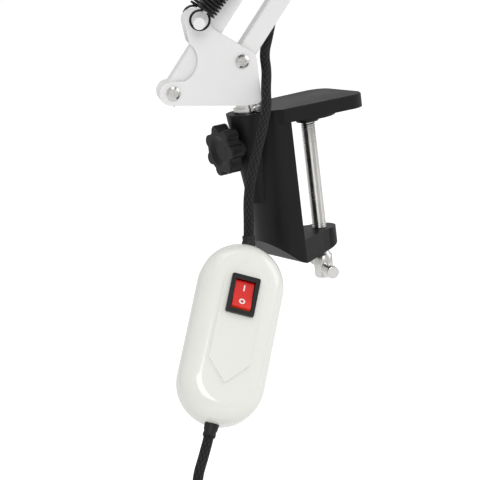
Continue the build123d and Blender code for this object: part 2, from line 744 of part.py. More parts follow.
coil_centre = Vector(-130.0, -57.0, -251.0)
coil_x = pod_level
coil_plane = Plane(origin=coil_centre, x_dir=coil_x, z_dir=Vector(0, 0, 1).cross(coil_x))


def coil_at(x, z):
    return coil_centre + coil_x * x + Vector(0, 0, z)


lower_route = [
    pod_at(0, -pod_length / 2 - 0.4),
    pod_at(-0.5, -pod_length / 2 - 14),
    Vector(-127.5, -55.6, -161.0),
    coil_at(1.0, 70),
    coil_at(-7.0, 52),
    coil_at(-17.0, 36),
]
cord(lower_route, cord_d, "cord_lower")
with BuildPart() as coil:
    with Locations(coil_plane):
        Torus(coil_radius, coil_section)
save(coil.part, "cord_coil")
with BuildPart() as coil_tie:
    with Locations(Plane(origin=coil_centre - Vector(0, 0, coil_radius), z_dir=coil_x)):
        Cylinder(coil_section + 1.0, 4)
        Cylinder(coil_section + 0.1, 4, mode=Mode.SUBTRACT)
save(coil_tie.part, "coil_tie")

plug_top = coil_at(52, -82)
plug_plane = Plane(origin=plug_top, x_dir=coil_x, z_dir=(0, 0, -1))
with BuildPart() as plug_body:
    with BuildSketch(plug_plane):
        RectangleRounded(24, 15, 5)
    with BuildSketch(plug_plane.offset(26)):
        RectangleRounded(28, 18, 5)
    loft()
    with BuildSketch(plug_plane):
        Circle(5.5)
    with BuildSketch(plug_plane.offset(-18)):
        Circle(3.6)
    loft()
save(plug_body.part, "plug_body")
with BuildPart() as plug_pins:
    with BuildSketch(plug_plane.offset(26)):
        with GridLocations(12.7, 1, 2, 1):
            Rectangle(1.6, 6.3)
    extrude(amount=17)
save(plug_pins.part, "plug_pins")
tail_route = [coil_at(20, -34), coil_at(33, -36.5), coil_at(44, -43), coil_at(51.4, -54), coil_at(52, -63.6)]
cord(tail_route, cord_d, "cord_tail")

for name, point in (("boss", arm_at(0, 0)), ("A", arm_at(*pivot_a)), ("B", arm_at(*pivot_b)),
                    ("elbow A", arm_at(*elbow_a)), ("elbow B", arm_at(*elbow_b)),
                    ("C", arm_at(*upper_c)), ("D", arm_at(*upper_d)), ("E", arm_at(*head_e)),
                    ("F", arm_at(*head_f)), ("pan", arm_at(*pan_at)), ("tilt", arm_at(*tilt_at)),
                    ("rocker", rocker_side.origin), ("pod right", pod_right),
                    ("pod up", pod_up), ("shade top", head_axis.origin),
                    ("plug face", plug_top - Vector(0, 0, 26))):
    print(name, round(point.X, 3), round(point.Y, 3), round(point.Z, 3))
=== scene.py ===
import json
import math

import bpy
from mathutils import Matrix, Vector


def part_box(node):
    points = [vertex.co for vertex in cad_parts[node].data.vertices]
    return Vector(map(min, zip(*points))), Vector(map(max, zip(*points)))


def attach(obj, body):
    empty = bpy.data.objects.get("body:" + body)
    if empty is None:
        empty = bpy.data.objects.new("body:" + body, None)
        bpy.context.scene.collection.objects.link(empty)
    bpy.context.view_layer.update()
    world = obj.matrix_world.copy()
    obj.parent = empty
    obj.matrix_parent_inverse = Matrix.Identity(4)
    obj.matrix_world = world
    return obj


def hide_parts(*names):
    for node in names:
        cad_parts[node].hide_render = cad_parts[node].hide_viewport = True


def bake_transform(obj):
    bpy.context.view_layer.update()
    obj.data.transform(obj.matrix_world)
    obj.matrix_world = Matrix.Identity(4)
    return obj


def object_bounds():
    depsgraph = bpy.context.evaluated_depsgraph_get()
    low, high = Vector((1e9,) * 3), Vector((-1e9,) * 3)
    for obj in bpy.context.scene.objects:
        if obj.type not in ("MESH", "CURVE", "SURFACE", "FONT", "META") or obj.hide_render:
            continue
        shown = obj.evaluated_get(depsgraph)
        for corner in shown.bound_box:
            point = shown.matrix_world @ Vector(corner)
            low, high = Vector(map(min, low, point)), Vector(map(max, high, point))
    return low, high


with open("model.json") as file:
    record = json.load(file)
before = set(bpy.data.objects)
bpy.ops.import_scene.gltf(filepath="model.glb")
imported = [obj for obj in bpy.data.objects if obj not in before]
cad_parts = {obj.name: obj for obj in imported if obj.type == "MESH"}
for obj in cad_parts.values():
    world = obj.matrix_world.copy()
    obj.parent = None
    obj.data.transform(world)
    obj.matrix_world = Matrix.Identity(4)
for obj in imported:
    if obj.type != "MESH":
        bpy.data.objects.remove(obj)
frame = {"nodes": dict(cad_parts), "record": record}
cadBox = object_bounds()
nodes = frame["nodes"]
joints = {j["name"]: j for j in frame["record"]["behaviour"]["joints"]}
mm = 0.001
print("frame loaded:", len(nodes), "nodes")


# directions and places, taken from the joints
def jointAt(name):
    return Vector(joints[name]["pos_m"])


liftAxis = Vector(joints["lower_lift"]["axis"]).normalized()
upward = Vector((0, 0, 1))
armFar = -liftAxis                      # towards the far side of the arm
podSet = {
    "turn": -14.7,      # degrees about the vertical
    "tip": 28.7,        # degrees that its face looks upward
}
podTurn, podTip = math.radians(podSet["turn"]), math.radians(podSet["tip"])
podLevel = Vector((math.cos(podTurn), math.sin(podTurn), 0))
podOut = Vector((math.sin(podTurn), -math.cos(podTurn), 0))
podFace = podOut * math.cos(podTip) + upward * math.sin(podTip)
podRight = Vector(joints["rocker_press"]["axis"]).normalized()
podUp = podFace.cross(podRight)


# shader node groups
def newGroup(name, inputs, outputs):
    group = bpy.data.node_groups.new(name, "ShaderNodeTree")
    for title, kind, value in inputs:
        socket = group.interface.new_socket(title, in_out="INPUT", socket_type=kind)
        socket.default_value = value
    for title, kind in outputs:
        group.interface.new_socket(title, in_out="OUTPUT", socket_type=kind)
    gIn = group.nodes.new("NodeGroupInput")
    gOut = group.nodes.new("NodeGroupOutput")
    return group, gIn, gOut


def addNode(tree, kind, **settings):
    node = tree.nodes.new(kind)
    for key, value in settings.items():
        setattr(node, key, value)
    return node


def noiseNode(tree, scale):
    place = addNode(tree, "ShaderNodeTexCoord")
    noise = addNode(tree, "ShaderNodeTexNoise")
    noise.inputs["Scale"].default_value = scale
    noise.inputs["Detail"].default_value = 3.0
    noise.inputs["Roughness"].default_value = 0.55
    tree.links.new(place.outputs["Object"], noise.inputs["Vector"])
    return noise


def remap(tree, source, low, high, toLow, toHigh):
    node = addNode(tree, "ShaderNodeMapRange")
    for title, value in (("From Min", low), ("From Max", high), ("To Min", toLow), ("To Max", toHigh)):
        node.inputs[title].default_value = value
    tree.links.new(source, node.inputs["Value"])
    return node.outputs["Result"]


def makeSurfaceGroup():
    # broad and fine unevenness of a coated or moulded surface
    group, gIn, gOut = newGroup(
        "surfaceUnevenness",
        [("Broad Scale", "NodeSocketFloat", 30.0), ("Fine Scale", "NodeSocketFloat", 900.0),
         ("Fine Share", "NodeSocketFloat", 0.5)],
        [("Broad", "NodeSocketFloat"), ("Height", "NodeSocketFloat")])
    place = addNode(group, "ShaderNodeTexCoord")
    parts = []
    for title in ("Broad Scale", "Fine Scale"):
        noise = addNode(group, "ShaderNodeTexNoise")
        noise.inputs["Detail"].default_value = 3.0
        group.links.new(place.outputs["Object"], noise.inputs["Vector"])
        group.links.new(gIn.outputs[title], noise.inputs["Scale"])
        parts.append(noise.outputs["Fac"])
    mix = addNode(group, "ShaderNodeMix", data_type="FLOAT")
    group.links.new(gIn.outputs["Fine Share"], mix.inputs["Factor"])
    group.links.new(parts[0], mix.inputs["A"])
    group.links.new(parts[1], mix.inputs["B"])
    group.links.new(parts[0], gOut.inputs["Broad"])
    group.links.new(mix.outputs["Result"], gOut.inputs["Height"])
    return group


def makeBraidGroup():
    # crossing strands, with painted shade darkening the grooves between them: u runs along the cord in
    # metres, v once round it
    group, gIn, gOut = newGroup(
        "braid",
        [("Pitch", "NodeSocketFloat", 0.006), ("Strands", "NodeSocketFloat", 8.0)],
        [("Height", "NodeSocketFloat"), ("GrooveShade", "NodeSocketFloat")])
    place = addNode(group, "ShaderNodeTexCoord")
    split = addNode(group, "ShaderNodeSeparateXYZ")
    group.links.new(place.outputs["UV"], split.inputs[0])
    along = addNode(group, "ShaderNodeMath", operation="DIVIDE")
    group.links.new(split.outputs["X"], along.inputs[0])
    group.links.new(gIn.outputs["Pitch"], along.inputs[1])
    lines = []
    for way in (1, -1):
        around = addNode(group, "ShaderNodeMath", operation="MULTIPLY")
        group.links.new(split.outputs["Y"], around.inputs[0])
        group.links.new(gIn.outputs["Strands"], around.inputs[1])
        turn = addNode(group, "ShaderNodeMath", operation="MULTIPLY")
        turn.inputs[1].default_value = way
        group.links.new(around.outputs[0], turn.inputs[0])
        total = addNode(group, "ShaderNodeMath", operation="ADD")
        group.links.new(along.outputs[0], total.inputs[0])
        group.links.new(turn.outputs[0], total.inputs[1])
        wave = addNode(group, "ShaderNodeMath", operation="MULTIPLY")
        wave.inputs[1].default_value = math.pi
        group.links.new(total.outputs[0], wave.inputs[0])
        sine = addNode(group, "ShaderNodeMath", operation="SINE")
        group.links.new(wave.outputs[0], sine.inputs[0])
        size = addNode(group, "ShaderNodeMath", operation="ABSOLUTE")
        group.links.new(sine.outputs[0], size.inputs[0])
        lines.append(size.outputs[0])
    product = addNode(group, "ShaderNodeMath", operation="MULTIPLY")
    group.links.new(lines[0], product.inputs[0])
    group.links.new(lines[1], product.inputs[1])
    group.links.new(product.outputs[0], gOut.inputs["Height"])
    # painted shade: the grooves between strands, where the height is low, get a mask for the darker
    # colour
    group.links.new(remap(group, product.outputs[0], 0.0, 0.35, 0.0, 1.0), gOut.inputs["GrooveShade"])
    return group


surfaceGroup = makeSurfaceGroup()
braidGroup = makeBraidGroup()


# materials
def startMaterial(name):
    material = bpy.data.materials.new(name)
    material.use_nodes = True
    tree = material.node_tree
    return material, tree, tree.nodes["Principled BSDF"]


def addGroup(tree, group, **values):
    node = addNode(tree, "ShaderNodeGroup", node_tree=group)
    for title, value in values.items():
        node.inputs[title.replace("_", " ")].default_value = value
    return node


def twoTone(tree, shader, fac, dark, light):
    ramp = addNode(tree, "ShaderNodeMix", data_type="RGBA")
    ramp.inputs["A"].default_value = (*dark, 1)
    ramp.inputs["B"].default_value = (*light, 1)
    tree.links.new(fac, ramp.inputs["Factor"])
    tree.links.new(ramp.outputs["Result"], shader.inputs["Base Color"])


def addBump(tree, shader, height, strength, distance):
    bump = addNode(tree, "ShaderNodeBump")
    bump.inputs["Strength"].default_value = strength
    bump.inputs["Distance"].default_value = distance
    tree.links.new(height, bump.inputs["Height"])
    tree.links.new(bump.outputs["Normal"], shader.inputs["Normal"])


plainFinish = {"metallic": 0.0, "coat": 0.0, "shine": 0.5, "depth": 0.0001}
finishes = {
    "castingBlack": {"dark": (0.005, 0.005, 0.006), "light": (0.009, 0.009, 0.01),
                     "rough": (0.4, 0.5), "shine": 0.22, "broad": 40, "fine": 1400, "share": 0.7,
                     "bump": 0.25, "depth": 0.0002},
    "knobBlack": {"dark": (0.004, 0.004, 0.004), "light": (0.008, 0.008, 0.008),
                  "rough": (0.34, 0.44), "shine": 0.25, "broad": 60, "fine": 2200, "share": 0.6,
                  "bump": 0.15},
    "brightZinc": {"dark": (0.62, 0.61, 0.59), "light": (0.8, 0.79, 0.77),
                   "rough": (0.14, 0.3), "metallic": 1.0, "broad": 90, "fine": 2600, "share": 0.5,
                   "bump": 0.08},
    "bladeBrass": {"dark": (0.62, 0.52, 0.33), "light": (0.76, 0.67, 0.45),
                   "rough": (0.18, 0.32), "metallic": 1.0, "broad": 90, "fine": 2000, "share": 0.5,
                   "bump": 0.08},
    "paintWhite": {"dark": (0.8, 0.8, 0.8), "light": (0.86, 0.86, 0.855),
                   "rough": (0.2, 0.28), "coat": 0.35, "broad": 25, "fine": 500, "share": 0.6,
                   "bump": 0.06, "depth": 0.0002},
    "nylonNatural": {"dark": (0.72, 0.71, 0.67), "light": (0.8, 0.79, 0.75),
                     "rough": (0.45, 0.55), "broad": 80, "fine": 1500, "share": 0.5, "bump": 0.1},
    "springBlack": {"dark": (0.01, 0.01, 0.01), "light": (0.022, 0.021, 0.02),
                    "rough": (0.22, 0.36), "metallic": 0.6, "broad": 120, "fine": 3000, "share": 0.5,
                    "bump": 0.1},
    "satinAluminium": {"dark": (0.62, 0.62, 0.63), "light": (0.76, 0.76, 0.77),
                       "rough": (0.3, 0.42), "metallic": 1.0, "broad": 60, "fine": 2400, "share": 0.6,
                       "bump": 0.1},
    "reflectorWhite": {"dark": (0.86, 0.86, 0.85), "light": (0.9, 0.9, 0.89),
                       "rough": (0.16, 0.24), "coat": 0.2, "broad": 30, "fine": 700, "share": 0.5,
                       "bump": 0.04},
    "boardGreen": {"dark": (0.02, 0.1, 0.05), "light": (0.03, 0.15, 0.07),
                   "rough": (0.3, 0.42), "coat": 0.1, "broad": 70, "fine": 1800, "share": 0.5,
                   "bump": 0.08},
    "frostedPanel": {"dark": (0.86, 0.87, 0.86), "light": (0.92, 0.92, 0.91),
                     "rough": (0.5, 0.6), "broad": 60, "fine": 1600, "share": 0.6, "bump": 0.1},
    "podShell": {"dark": (0.8, 0.8, 0.755), "light": (0.845, 0.845, 0.8),
                 "rough": (0.09, 0.15), "coat": 0.45, "broad": 18, "fine": 260, "share": 0.35,
                 "bump": 0.03, "depth": 0.0003},
    "bezelBlack": {"dark": (0.006, 0.006, 0.006), "light": (0.011, 0.011, 0.011),
                   "rough": (0.18, 0.26), "broad": 90, "fine": 2500, "share": 0.5, "bump": 0.06},
    "markWhite": {"dark": (0.82, 0.8, 0.78), "light": (0.9, 0.88, 0.86),
                  "rough": (0.35, 0.45), "broad": 90, "fine": 2500, "share": 0.5, "bump": 0.05},
    "chipYellow": {"dark": (0.75, 0.6, 0.1), "light": (0.85, 0.7, 0.18),
                   "rough": (0.25, 0.35), "coat": 0.2, "broad": 200, "fine": 3000, "share": 0.5,
                   "bump": 0.05},
    "reliefBlack": {"dark": (0.009, 0.009, 0.009), "light": (0.016, 0.016, 0.016),
                    "rough": (0.42, 0.55), "shine": 0.3, "broad": 90, "fine": 2600, "share": 0.6,
                    "bump": 0.12},
}
materials = {}
for name, changes in finishes.items():
    look = {**plainFinish, **changes}
    material, tree, shader = startMaterial(name)
    unevenness = addGroup(tree, surfaceGroup, Broad_Scale=look["broad"], Fine_Scale=look["fine"],
                          Fine_Share=look["share"])
    patches = unevenness.outputs["Broad"]
    twoTone(tree, shader, patches, look["dark"], look["light"])
    tree.links.new(remap(tree, patches, 0.3, 0.7, *look["rough"]), shader.inputs["Roughness"])
    shader.inputs["Metallic"].default_value = look["metallic"]
    shader.inputs["Coat Weight"].default_value = look["coat"]
    shader.inputs["Coat Roughness"].default_value = 0.08
    shader.inputs["Specular IOR Level"].default_value = look["shine"]
    addBump(tree, shader, unevenness.outputs["Height"], look["bump"], look["depth"])
    materials[name] = material


def makeRockerRed():
    # clear red moulding, lit faintly from inside towards its raised end
    material, tree, shader = startMaterial("rockerRed")
    unevenness = addGroup(tree, surfaceGroup, Broad_Scale=120, Fine_Scale=2400, Fine_Share=0.5)
    twoTone(tree, shader, unevenness.outputs["Broad"], (0.62, 0.008, 0.006), (0.74, 0.016, 0.010))
    shader.inputs["Roughness"].default_value = 0.16
    shader.inputs["Coat Weight"].default_value = 0.5
    shader.inputs["Subsurface Weight"].default_value = 0.25
    shader.inputs["Subsurface Scale"].default_value = 0.002
    place = addNode(tree, "ShaderNodeTexCoord")
    low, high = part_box("rocker")
    split = addNode(tree, "ShaderNodeSeparateXYZ")
    tree.links.new(place.outputs["Object"], split.inputs[0])
    glow = remap(tree, split.outputs["Z"], low.z, low.z + 0.45 * (high.z - low.z), 1.0, 0.0)
    mix = addNode(tree, "ShaderNodeMix", data_type="RGBA")
    mix.inputs["A"].default_value = (0.10, 0.0, 0.0, 1)
    mix.inputs["B"].default_value = (0.85, 0.10, 0.03, 1)
    tree.links.new(glow, mix.inputs["Factor"])
    tree.links.new(mix.outputs["Result"], shader.inputs["Emission Color"])
    shader.inputs["Emission Strength"].default_value = 0.35
    addBump(tree, shader, unevenness.outputs["Height"], 0.04, 0.0001)
    return material


braidSet = {
    "pitch": 0.0042,
    "strands": 8.0,
    # painted shade: the darker colour put in the grooves between strands
    "gap": (0.002, 0.002, 0.002),
    "thread": (0.016, 0.016, 0.016),
}


def makeBraidBlack():
    material, tree, shader = startMaterial("braidBlack")
    braid = addGroup(tree, braidGroup, Pitch=braidSet["pitch"], Strands=braidSet["strands"])
    # painted shade: the grooves between strands take the darker colour, the strands their own black
    twoTone(tree, shader, braid.outputs["GrooveShade"], braidSet["gap"], braidSet["thread"])
    tree.links.new(remap(tree, braid.outputs["Height"], 0.0, 1.0, 0.75, 0.42), shader.inputs["Roughness"])
    shader.inputs["Specular IOR Level"].default_value = 0.25
    addBump(tree, shader, braid.outputs["Height"], 0.9, 0.0005)
    return material


materials["rockerRed"] = makeRockerRed()
materials["braidBlack"] = makeBraidBlack()

nodeLooks = {
    "castingBlack": ["clamp_body"],
    "knobBlack": ["lock_knob", "tilt_knob", "plug_body", "pressure_pad"],
    "brightZinc": ["lock_stud", "clamp_screw", "tommy_bar", "spindle", "base_pivot_screws",
                   "base_pivot_nuts", "elbow_screws", "elbow_nuts", "head_screws", "head_nuts", "pan_nut",
                   "tilt_bolt", "pod_screws"],
    "bladeBrass": ["plug_pins"],
    "paintWhite": ["base_bracket", "lower_front_tube", "lower_rear_tube", "upper_front_tube",
                   "upper_rear_tube", "elbow_plates", "head_plates", "base_hook_pins", "elbow_hook_pins",
                   "lower_anchor_pin", "upper_anchor_pin", "shade", "head_neck", "knuckle", "pan_block"],
    "nylonNatural": ["base_washers", "elbow_washers", "head_washers"],
    "springBlack": ["lower_springs", "upper_springs"],
    "satinAluminium": ["heat_sink"],
    "reflectorWhite": ["reflector"],
    "boardGreen": ["led_board", "driver_board"],
    "frostedPanel": ["diffuser"],
    "podShell": ["pod_front", "pod_back"],
    "bezelBlack": ["switch_body"],
    "rockerRed": ["rocker"],
    "reliefBlack": ["coil_tie"],
    "braidBlack": ["cord_upper", "cord_lower", "cord_coil", "cord_tail"],
}
for look, names in nodeLooks.items():
    for nodeName in names:
        node = nodes[nodeName]
        for place in node.material_slots:
            place.material = materials[look]
        if not node.material_slots:
            node.data.materials.append(materials[look])
print("materials on", sum(len(names) for names in nodeLooks.values()), "nodes")


# mesh helpers
def meshObject(name, vertices, faces, look, uvs=None, smooth=True):
    mesh = bpy.data.meshes.new(name)
    mesh.from_pydata([tuple(v) for v in vertices], [], faces)
    if uvs:
        layer = mesh.uv_layers.new(name="UVMap")
        for loop, uv in zip(layer.data, uvs):
            loop.uv = uv
    mesh.polygons.foreach_set("use_smooth", [smooth] * len(mesh.polygons))
    mesh.validate()
    mesh.update()
    piece = bpy.data.objects.new(name, mesh)
    bpy.context.collection.objects.link(piece)
    mesh.materials.append(materials[look])
    return piece


def tube(name, path, radius, look, sides=16, radiusAt=None, startLength=0.0):
    # round tube along a path, closed at both ends; its first texture axis is the length in metres
    vertices, faces, uvs = [], [], []
    tangents = []
    for i in range(len(path)):
        tangents.append((path[min(i + 1, len(path) - 1)] - path[max(i - 1, 0)]).normalized())
    across = tangents[0].orthogonal().normalized()
    lengths = [startLength]
    for i, here in enumerate(path):
        if i:
            lengths.append(lengths[-1] + (here - path[i - 1]).length)
            across = (across - tangents[i] * across.dot(tangents[i])).normalized()
        other = tangents[i].cross(across)
        size = radiusAt(i) if radiusAt else radius
        for k in range(sides):
            a = 2 * math.pi * k / sides
            vertices.append(here + (across * math.cos(a) + other * math.sin(a)) * size)
    for i in range(len(path) - 1):
        for k in range(sides):
            n = (k + 1) % sides
            faces.append((i * sides + k, i * sides + n, (i + 1) * sides + n, (i + 1) * sides + k))
            uvs += [(lengths[i], k / sides), (lengths[i], (k + 1) / sides),
                    (lengths[i + 1], (k + 1) / sides), (lengths[i + 1], k / sides)]
    last = (len(path) - 1) * sides
    faces.append(tuple(reversed(range(sides))))
    faces.append(tuple(last + k for k in range(sides)))
    uvs += [(lengths[0], 0)] * sides + [(lengths[-1], 0)] * sides
    return meshObject(name, vertices, faces, look, uvs)


def smoothRoute(name, points):
    # points read from a smooth spline that has the given control points
    curve = bpy.data.curves.new(name, "CURVE")
    curve.dimensions = "3D"
    curve.resolution_u = 12
    spline = curve.splines.new("NURBS")
    spline.points.add(len(points) - 1)
    for target, point in zip(spline.points, points):
        target.co = (*point, 1)
    spline.order_u = 3
    spline.use_endpoint_u = True
    guide = bpy.data.objects.new(name, curve)
    bpy.context.collection.objects.link(guide)
    bpy.context.view_layer.update()
    mesh = bpy.data.meshes.new_from_object(guide)
    found = [v.co.copy() for v in mesh.vertices]
    bpy.data.meshes.remove(mesh)
    bpy.data.objects.remove(guide)
    return found


def routeLength(path):
    return sum((b - a).length for a, b in zip(path, path[1:]))


# cords
cordSet = {
    "diameter": 0.0054,
    "coilRadius": 0.031,
    "coilTurns": 6.375,
    "coilSteps": 16,        # points in each turn
    "coilStart": 152,       # degrees
    "layers": ((-0.5, -0.87), (0.5, -0.87), (1, 0), (0, 0), (-1, 0), (-0.5, 0.87), (0.5, 0.87),
               (0.5, 0.87)),        # each turn's place in the bundle, in cord widths
    "armSplit": 0.0337,     # height at which the upper cord passes from the arm to the bracket
}
coilCentre = Vector((-130.0, -57.0, -251.0)) * mm


def coilPoint(x, z, out=0.0):
    # a place by the coil: across, up, and out towards the front, in millimetres
    return coilCentre + (podLevel * x + upward * z + podOut * out) * mm


upperPoints = [Vector(p) * mm for p in (
    (-9.5, -2.5, 67.0), (-13.1, 1.8, 55.5), (-17.2, 2.6, 43.3), (-22.6, 0.0, 35.3), (-27.6, -8.7, 27.3),
    (-34.0, -15.7, 19.3), (-38.0, -21.0, 10.8), (-44.5, -23.2, -1.5), (-52.5, -24.5, -16.5),
    (-57.5, -23.5, -33.0), (-55.0, -16.8, -49.5), (-57.7, -18.2, -60.4))]
lowerPoints = [Vector(p) * mm for p in (
    (-110.2, -48.1, -137.7), (-117.9, -52.1, -148.3), (-127.5, -55.6, -161.0))]
lowerPoints += [coilPoint(1, 70), coilPoint(-7, 52), coilPoint(-17, 36)]


def coilLoops():
    # the coil's turns lie beside and on each other, one diameter apart
    d = cordSet["diameter"] / mm
    radius = cordSet["coilRadius"] / mm
    layers, perTurn = cordSet["layers"], cordSet["coilSteps"]
    begin = math.radians(cordSet["coilStart"])
    found = []
    total = int(cordSet["coilTurns"] * perTurn)
    for i in range(1, total):
        turn = i / perTurn
        k = min(int(turn), len(layers) - 2)
        share = min(1.0, max(0.0, (turn - k - 0.3) / 0.4))
        ease = share * share * (3 - 2 * share)
        side = layers[k][0] * (1 - ease) + layers[k + 1][0] * ease
        rise = layers[k][1] * (1 - ease) + layers[k + 1][1] * ease
        a = begin + 2 * math.pi * turn
        size = radius + rise * d
        found.append(coilPoint(size * math.cos(a), size * math.sin(a), side * d))
    return found


cordMetres = cordSet["diameter"]
upperPath = smoothRoute("upperGuide", upperPoints)
splitAt = next(i for i, p in enumerate(upperPath) if p.z < cordSet["armSplit"])
armCordPath, dropCordPath = upperPath[:splitAt + 1], upperPath[splitAt:]
armCord = tube("armCord", armCordPath, cordMetres / 2, "braidBlack")
dropCord = tube("dropCord", dropCordPath, cordMetres / 2, "braidBlack",
                startLength=routeLength(armCordPath))
tailPoints = [coilPoint(18, -35), coilPoint(33, -36.5), coilPoint(44, -43), coilPoint(51.4, -54),
              coilPoint(52, -66)]
lowerPath = smoothRoute("lowerGuide", lowerPoints + coilLoops() + tailPoints)
leadCord = tube("leadCord", lowerPath, cordMetres / 2, "braidBlack", sides=12)
print("cords:", round(routeLength(upperPath), 3), "m above the pod,",
      round(routeLength(lowerPath), 3), "m below")

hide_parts("cord_upper")
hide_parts("cord_lower", "cord_coil", "cord_tail")
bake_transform(armCord)
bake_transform(dropCord)
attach(leadCord, "clamp")


# strain reliefs: short ribbed tapers where the cord meets the pod
reliefSet = {
    "length": 0.010,
    "sunk": 0.004,          # how much of it is inside the pod
    "wide": 0.0042,
    "narrow": 0.0033,
    "groove": 0.00035,
    "ribs": 2,
}


def reliefAt(name, end, direction):
    rows = reliefSet["ribs"] * 4
    start = end - direction * reliefSet["sunk"]
    path = [start + direction * reliefSet["length"] * i / rows for i in range(rows + 1)]

    def size(i):
        taper = reliefSet["wide"] + (reliefSet["narrow"] - reliefSet["wide"]) * (i / rows) ** 0.8
        return taper - (reliefSet["groove"] if i % 4 == 2 and 2 <= i < rows - 1 else 0.0)
    piece = tube(name, path, reliefSet["wide"], "reliefBlack", sides=24, radiusAt=size)
    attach(piece, "clamp")
    return piece


topWay = (upperPath[-3] - upperPath[-1]).normalized()
lowWay = (lowerPath[2] - lowerPath[0]).normalized()
podTopRelief = reliefAt("podTopRelief", upperPath[-1], topWay)
podLowRelief = reliefAt("podLowRelief", lowerPath[0], lowWay)


# springs: close wound wire with a full loop at each end, stretched between two bodies
springSet = {
    "meanRadius": 0.00505,
    "wire": 0.0013,
    "pitch": 0.0019,
    "side": 0.015,          # out from the arm's middle plane
    "hookPin": 0.0025,
    "anchorPin": 0.002,
    "clear": 0.0001,
    "hookGap": 0.35,        # radians left open before a hook's ring
    "hookSteps": 21,
    "coilSteps": 14,
}


def hookRing(middle, way):
    # an almost closed ring in the plane of the spring's own length
    r, steps, gap = springSet["meanRadius"], springSet["hookSteps"], springSet["hookGap"]
    order = range(steps + 1) if way > 0 else range(steps, -1, -1)
    angles = [gap + (2 * math.pi - 0.55) * k / steps for k in order]
    return [Vector((0, middle + way * r * math.cos(a), r * math.sin(a))) for a in angles]


def springPath(length):
    # along local y from one pin's axis to the other's; local x points out of the arm's plane
    r, wire = springSet["meanRadius"], springSet["wire"]
    hang = r - wire / 2 - springSet["clear"]
    low, high = hang - springSet["hookPin"], length - (hang - springSet["anchorPin"])
    bodyLow, bodyHigh = low + r + wire * 0.3, high - r - wire * 0.3
    turns = max(3, round((bodyHigh - bodyLow) / springSet["pitch"]))
    points = hookRing(low, 1)
    steps = turns * springSet["coilSteps"]
    for k in range(steps + 1):
        a = -math.pi / 2 + springSet["hookGap"] + 2 * math.pi * k / springSet["coilSteps"]
        along = bodyLow + (bodyHigh - bodyLow) * k / steps
        points.append(Vector((r * math.cos(a), along, r * math.sin(a))))
    return points + hookRing(high, -1)


def makeSpring(name, start, end, fromBody, toBody, side):
    a = start + armFar * side * springSet["side"]
    b = end + armFar * side * springSet["side"]
    length = (b - a).length
    along = (b - a).normalized()
    out = armFar * side
    spring = tube(name, springPath(length), springSet["wire"] / 2, "springBlack", sides=8)
    turned = Matrix((out, along, out.cross(along))).transposed().to_4x4()
    spring.matrix_world = Matrix.Translation(a) @ turned
    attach(spring, fromBody)
    anchor = bpy.data.objects.new(name + "Anchor", None)
    bpy.context.collection.objects.link(anchor)
    anchor.location = b
    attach(anchor, toBody)
    stretch = spring.constraints.new("STRETCH_TO")
    stretch.target = anchor
    stretch.rest_length = length
    stretch.volume = "NO_VOLUME"
    stretch.keep_axis = "SWING_Y"
    return spring


def middleOf(node):
    low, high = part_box(node)
    return (low + high) / 2


for side, sideName in ((-1, "Near"), (1, "Far")):
    makeSpring("lowerSpring" + sideName, middleOf("base_hook_pins"),
                              middleOf("lower_anchor_pin"), "base", "lower_front", side)
    makeSpring("upperSpring" + sideName, middleOf("elbow_hook_pins"),
                              middleOf("upper_anchor_pin"), "elbow", "upper_front", side)
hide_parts("lower_springs")
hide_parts("upper_springs")

# clamp screw with a rolled helical thread
screwSet = {
    "crest": 0.00395,
    "root": 0.00333,
    "pitch": 0.00125,
    "hub": 0.0052,
    "hubLength": 0.020,
    "stub": 0.0026,
    "stubLength": 0.0034,
    "sides": 32,
    "rowsPerTurn": 8,
}


def makeClampScrew():
    low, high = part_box("clamp_screw")
    hubTop = jointAt("screw_turn").z - screwSet["hubLength"]
    threadTop = high.z - screwSet["stubLength"]
    threadLow = hubTop + 0.003
    sides, step = screwSet["sides"], screwSet["pitch"] / screwSet["rowsPerTurn"]
    rows = [(low.z, screwSet["hub"] - 0.0006), (low.z + 0.0008, screwSet["hub"])]
    rows += [(hubTop, screwSet["hub"]), (hubTop + 0.001, screwSet["hub"] - 0.0007)]
    z = threadLow
    while z < threadTop:
        rows.append((z, None))
        z += step
    rows += [(threadTop + 0.0001, screwSet["root"]), (threadTop + 0.0002, screwSet["stub"]),
             (high.z, screwSet["stub"])]
    vertices, faces = [], []
    for z, size in rows:
        for k in range(sides):
            r = size
            if r is None:
                phase = ((z - threadLow) / screwSet["pitch"] - k / sides) % 1.0
                tooth = min(1.0, max(0.0, 1.25 - 2.9 * abs(phase - 0.5)))
                fade = min(1.0, (z - threadLow) / 0.0012, (threadTop - z) / 0.0008)
                r = screwSet["root"] + (screwSet["crest"] - screwSet["root"]) * tooth * max(0.0, fade)
            a = 2 * math.pi * k / sides
            vertices.append(Vector((r * math.cos(a), r * math.sin(a), z)))
    for i in range(len(rows) - 1):
        for k in range(sides):
            n = (k + 1) % sides
            faces.append((i * sides + k, i * sides + n, (i + 1) * sides + n, (i + 1) * sides + k))
    last = (len(rows) - 1) * sides
    faces += [tuple(reversed(range(sides))), tuple(last + k for k in range(sides))]
    screw = meshObject("threadedScrew", vertices, faces, "brightZinc")
    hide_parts("clamp_screw")
    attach(screw, "screw")


makeClampScrew()

# marks on the rocker
markSet = {
    "stroke": 0.0007,
    "height": 0.0034,
    "ring": 0.0016,
    "thick": 0.00012,
    "out": 3.9,             # from the rocker's pivot to each mark, in millimetres
}


def rockerFrame(alongUp, proud, slope):
    # a place on the rocker: millimetres up from its pivot and out from it, tilted with the face
    place = jointAt("rocker_press") + (podUp * alongUp + podFace * proud) * mm
    face = (podFace * math.cos(slope) + podUp * math.sin(slope)).normalized()
    up = (podUp * math.cos(slope) - podFace * math.sin(slope)).normalized()
    return Matrix.Translation(place) @ Matrix((podRight, up, face)).transposed().to_4x4()


